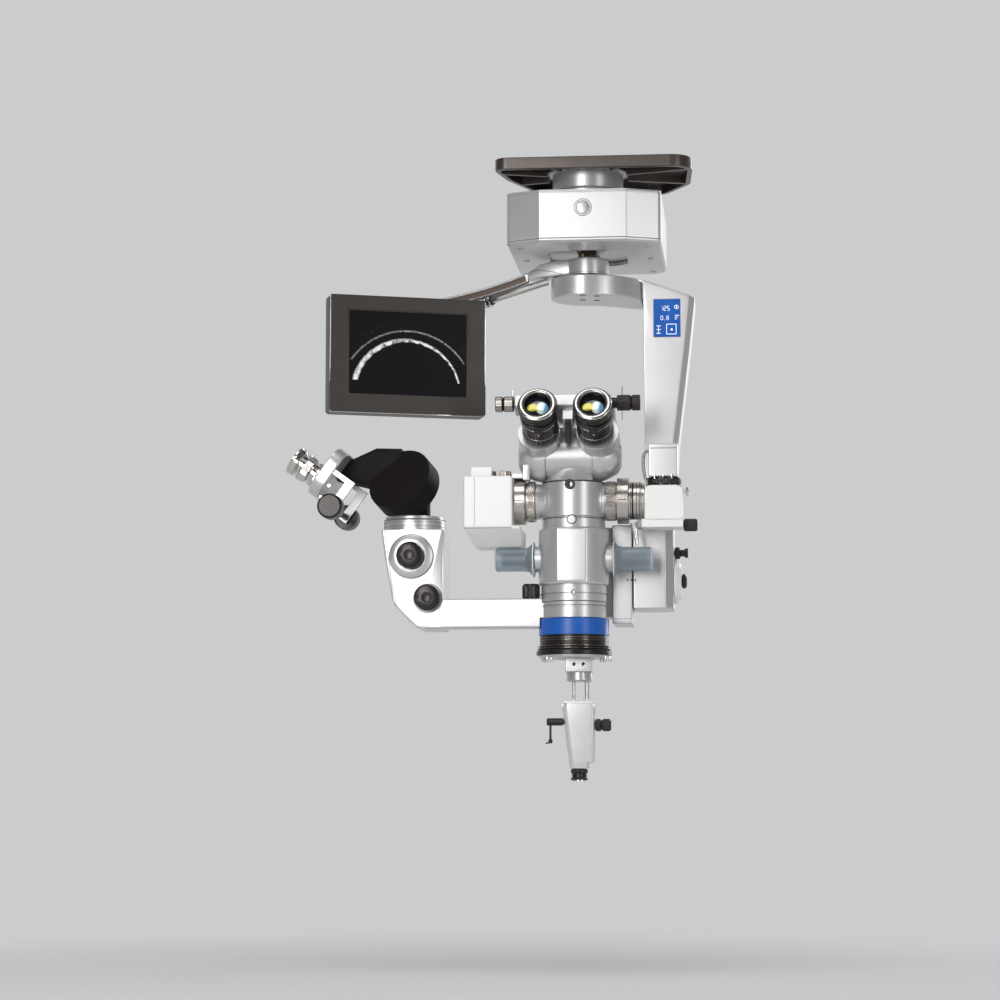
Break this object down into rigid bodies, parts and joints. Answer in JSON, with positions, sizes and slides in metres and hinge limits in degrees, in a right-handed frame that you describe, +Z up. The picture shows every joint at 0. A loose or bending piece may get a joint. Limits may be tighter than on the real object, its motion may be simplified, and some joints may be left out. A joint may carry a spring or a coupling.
{
  "type": "surgical microscope",
  "caption": "Hanging surgical microscope head with binocular tube, side cameras, assistant scope, tilting monitor, shifting coupling and a swing-in viewer below the objective.",
  "frame": {"origin": "centre of the flat top face of the stand head, where the ceiling or floor stand's arm is bolted on", "axes": "+Z up, -Y toward the surgeon, +X to the surgeon's right as seen in the picture"},
  "size_m": [0.4655, 0.2423, 0.71],
  "materials": {
    "black_anodised": "black anodised",
    "black_screen": "display glass, off",
    "blue_ring": "satin blue",
    "bright_steel": "turned and polished",
    "coated_glass": "coated lens",
    "grey_cord": "corrugated sheath",
    "light_lacquer": "satin light grey lacquer",
    "silicone": "translucent grey-blue silicone",
    "silver_lacquer": "satin silver lacquer on cast aluminium",
    "warm_grey_plastic": "moulded, warm dark grey",
    "white_lacquer": "satin white lacquer"
  },
  "bodies": {
    "stand": {"stand_head": "silver_lacquer"},
    "xy_unit": {"xy_base_plate": "light_lacquer", "xy_housing": "light_lacquer"},
    "x_slide": {"x_carriage": "bright_steel"},
    "y_slide": {"y_carriage": "silver_lacquer"},
    "monitor_arm": {"cable_tube": "bright_steel", "monitor_blade": "light_lacquer", "monitor_hub": "light_lacquer"},
    "monitor_pan": {"monitor_bracket": "black_anodised"},
    "monitor_tilt": {"monitor_housing": "warm_grey_plastic", "monitor_screen": "black_screen"},
    "scope_arm": {"arm_display": "blue_ring", "scope_beam": "light_lacquer", "scope_upright": "light_lacquer", "tilt_disc": "white_lacquer"},
    "tilt_knob_axis": {"tilt_knob": "black_anodised"},
    "tilt_lock_axis": {"tilt_lock_knob": "black_anodised"},
    "carriage": {"focus_guide": "silver_lacquer", "tilt_carriage": "light_lacquer"},
    "scope": {"beam_splitter": "silver_lacquer", "binocular_base": "light_lacquer", "blue_ring": "blue_ring", "camera_cable": "grey_cord", "objective_lens": "coated_glass", "objective_mount": "black_anodised", "scan_camera": "white_lacquer", "video_adapter": "white_lacquer", "video_camera": "light_lacquer", "zoom_body": "light_lacquer"},
    "left_grip_turn": {"left_cap": "silicone", "left_grip": "black_anodised"},
    "right_grip_turn": {"right_cap": "silicone", "right_grip": "black_anodised"},
    "binocular_tilt": {"binocular_body": "light_lacquer"},
    "pd_turn": {"pd_spindle": "black_anodised"},
    "left_eye_slide": {"eye_lens_left": "coated_glass", "eyepiece_left": "black_anodised"},
    "right_eye_slide": {"eye_lens_right": "coated_glass", "eyepiece_right": "black_anodised"},
    "left_eyecup_turn": {"eyecup_left": "black_anodised"},
    "right_eyecup_turn": {"eyecup_right": "black_anodised"},
    "left_port_axis": {"left_port_ring": "bright_steel"},
    "right_port_axis": {"right_port_ring": "bright_steel"},
    "scan_dial_axis": {"scan_dial": "silver_lacquer"},
    "adapter_knob_axis": {"adapter_knob": "black_anodised"},
    "camera_focus_axis": {"camera_focus_ring": "black_anodised"},
    "assistant_swing": {"assistant_arm": "light_lacquer"},
    "arm_knob_axis": {"arm_clamp_knob": "black_anodised"},
    "assistant_knob_axis": {"assistant_focus_knob": "black_anodised"},
    "lower_knob_axis": {"assistant_lower_knob": "black_anodised"},
    "head_turn": {"assistant_binocular": "light_lacquer", "prism_head": "black_anodised"},
    "side_pd_turn": {"side_spindle": "black_anodised"},
    "side_slide_near": {"side_eyepiece_near": "bright_steel"},
    "side_slide_far": {"side_eyepiece_far": "bright_steel"},
    "viewer_turn": {"viewer_mount": "silver_lacquer"},
    "viewer_slide": {"viewer_housing": "white_lacquer", "viewer_lens": "black_anodised"},
    "viewer_knob_axis": {"viewer_knob": "black_anodised"},
    "viewer_lever_axis": {"viewer_lever": "black_anodised"}
  },
  "joints": [
    {"name": "unit_swivel", "type": "hinge", "parent": "stand", "child": "xy_unit", "pos_m": [0, 0, -0.047], "axis": [0, 0, 1], "range_deg": [-150, 150]},
    {"name": "x_shift", "type": "slide", "parent": "xy_unit", "child": "x_slide", "axis": [1, 0, 0], "range_m": [-0.025, 0.025]},
    {"name": "y_shift", "type": "slide", "parent": "x_slide", "child": "y_slide", "axis": [0, 1, 0], "range_m": [-0.025, 0.025]},
    {"name": "monitor_arm_swing", "type": "hinge", "parent": "y_slide", "child": "monitor_arm", "pos_m": [0, 0, -0.1295], "axis": [0, 0, 1], "range_deg": [-60, 15]},
    {"name": "monitor_pan_turn", "type": "hinge", "parent": "monitor_arm", "child": "monitor_pan", "pos_m": [-0.206, 0.04, -0.15], "axis": [0, 0, 1], "range_deg": [-35, 2]},
    {"name": "monitor_tilt_turn", "type": "hinge", "parent": "monitor_pan", "child": "monitor_tilt", "pos_m": [-0.22005, 0.00635, -0.2242], "axis": [0.9397, 0.342, 0], "range_deg": [-2, 12]},
    {"name": "scope_arm_swing", "type": "hinge", "parent": "y_slide", "child": "scope_arm", "pos_m": [0, 0, -0.133], "axis": [0, 0, 1], "range_deg": [-10, 60]},
    {"name": "tilt_knob_turn", "type": "hinge", "parent": "scope_arm", "child": "tilt_knob_axis", "pos_m": [0.0965, 0.02, -0.482], "axis": [1, 0, 0], "continuous": true},
    {"name": "tilt_lock_turn", "type": "hinge", "parent": "scope_arm", "child": "tilt_lock_axis", "pos_m": [0.0965, 0.02, -0.4496], "axis": [1, 0, 0], "range_deg": [-90, 0]},
    {"name": "scope_tilt", "type": "hinge", "parent": "scope_arm", "child": "carriage", "pos_m": [0.0497, 0.02, -0.482], "axis": [1, 0, 0], "range_deg": [-8, 35]},
    {"name": "scope_focus", "type": "slide", "parent": "carriage", "child": "scope", "axis": [0, 0, 1], "range_m": [-0.022, 0.022]},
    {"name": "left_grip_turn", "type": "hinge", "parent": "scope", "child": "left_grip_turn", "pos_m": [-0.0541, -0.045, -0.4615], "axis": [1, 0, 0], "continuous": true},
    {"name": "right_grip_turn", "type": "hinge", "parent": "scope", "child": "right_grip_turn", "pos_m": [0.0251, -0.045, -0.4615], "axis": [1, 0, 0], "continuous": true},
    {"name": "binocular_tilt", "type": "hinge", "parent": "scope", "child": "binocular_tilt", "pos_m": [-0.0183, -0.045, -0.3455], "axis": [-1, 0, 0], "range_deg": [-15, 50]},
    {"name": "eye_distance_turn", "type": "hinge", "parent": "binocular_tilt", "child": "pd_turn", "pos_m": [0, -0.07577, -0.28845], "axis": [1, 0, 0], "range_deg": [-180, 360]},
    {"name": "left_eye_shift", "type": "slide", "parent": "binocular_tilt", "child": "left_eye_slide", "axis": [1, 0, 0], "range_m": [-0.006, 0.003]},
    {"name": "right_eye_shift", "type": "slide", "parent": "binocular_tilt", "child": "right_eye_slide", "axis": [1, 0, 0], "range_m": [-0.0031, 0.0061]},
    {"name": "left_eyecup_turn", "type": "hinge", "parent": "left_eye_slide", "child": "left_eyecup_turn", "pos_m": [-0.0489, -0.07745, -0.32044], "axis": [0, -0.9063, 0.4226], "range_deg": [-140, 140]},
    {"name": "right_eyecup_turn", "type": "hinge", "parent": "right_eye_slide", "child": "right_eyecup_turn", "pos_m": [0.0123, -0.07745, -0.32044], "axis": [0, -0.9063, 0.4226], "range_deg": [-140, 140]},
    {"name": "left_port_turn", "type": "hinge", "parent": "scope", "child": "left_port_axis", "pos_m": [-0.0565, -0.045, -0.396], "axis": [1, 0, 0], "range_deg": [-60, 60]},
    {"name": "right_port_turn", "type": "hinge", "parent": "scope", "child": "right_port_axis", "pos_m": [0.0215, -0.045, -0.396], "axis": [1, 0, 0], "range_deg": [-60, 60]},
    {"name": "scan_dial_turn", "type": "hinge", "parent": "scope", "child": "scan_dial_axis", "pos_m": [-0.0952, -0.045, -0.3703], "axis": [0, 1, 0], "continuous": true},
    {"name": "adapter_knob_turn", "type": "hinge", "parent": "scope", "child": "adapter_knob_axis", "pos_m": [0.1088, -0.045, -0.4239], "axis": [1, 0, 0], "continuous": true},
    {"name": "camera_focus_turn", "type": "hinge", "parent": "scope", "child": "camera_focus_axis", "pos_m": [0.0874, -0.045, -0.3803], "axis": [0, 0, 1], "range_deg": [-120, 120]},
    {"name": "assistant_arm_swing", "type": "hinge", "parent": "scope", "child": "assistant_swing", "pos_m": [-0.0145, -0.045, -0.5292], "axis": [0, 0, 1], "range_deg": [-30, 45]},
    {"name": "arm_clamp_turn", "type": "hinge", "parent": "assistant_swing", "child": "arm_knob_axis", "pos_m": [-0.063, -0.045, -0.5063], "axis": [0, 0, 1], "range_deg": [-720, 0]},
    {"name": "assistant_focus_turn", "type": "hinge", "parent": "assistant_swing", "child": "assistant_knob_axis", "pos_m": [-0.1975, -0.06, -0.4578], "axis": [0, 1, 0], "continuous": true},
    {"name": "assistant_lower_turn", "type": "hinge", "parent": "assistant_swing", "child": "lower_knob_axis", "pos_m": [-0.1785, -0.06, -0.5053], "axis": [0, 1, 0], "continuous": true},
    {"name": "prism_head_turn", "type": "hinge", "parent": "assistant_swing", "child": "head_turn", "pos_m": [-0.198, -0.025, -0.411], "axis": [0, 0, 1], "range_deg": [-40, 40]},
    {"name": "side_distance_turn", "type": "hinge", "parent": "head_turn", "child": "side_pd_turn", "pos_m": [-0.28552, -0.025, -0.40353], "axis": [0, 1, 0], "range_deg": [-180, 360]},
    {"name": "near_eye_shift", "type": "slide", "parent": "head_turn", "child": "side_slide_near", "axis": [0, 1, 0], "range_m": [-0.006, 0.003]},
    {"name": "far_eye_shift", "type": "slide", "parent": "head_turn", "child": "side_slide_far", "axis": [0, 1, 0], "range_m": [-0.0031, 0.0061]},
    {"name": "viewer_swing", "type": "hinge", "parent": "scope", "child": "viewer_turn", "pos_m": [-0.0145, -0.045, -0.57], "axis": [0, 0, 1], "range_deg": [-90, 90]},
    {"name": "viewer_focus", "type": "slide", "parent": "viewer_turn", "child": "viewer_slide", "axis": [0, 0, 1], "range_m": [-0.004, 0.016]},
    {"name": "viewer_knob_turn", "type": "hinge", "parent": "viewer_slide", "child": "viewer_knob_axis", "pos_m": [-0.0086, -0.053, -0.6482], "axis": [1, 0, 0], "range_deg": [-60, 240]},
    {"name": "viewer_lever_turn", "type": "hinge", "parent": "viewer_slide", "child": "viewer_lever_axis", "pos_m": [-0.0086, -0.053, -0.6445], "axis": [1, 0, 0], "range_deg": [-45, 45]}
  ],
  "couplings": [
    {"joint": "right_eye_shift", "follows": "left_eye_shift", "ratio": -1},
    {"joint": "eye_distance_turn", "follows": "left_eye_shift", "rad_per_m": -1047.2},
    {"joint": "far_eye_shift", "follows": "near_eye_shift", "ratio": -1},
    {"joint": "side_distance_turn", "follows": "near_eye_shift", "rad_per_m": -1047.2},
    {"joint": "viewer_knob_turn", "follows": "viewer_focus", "rad_per_m": 261.8}
  ]
}
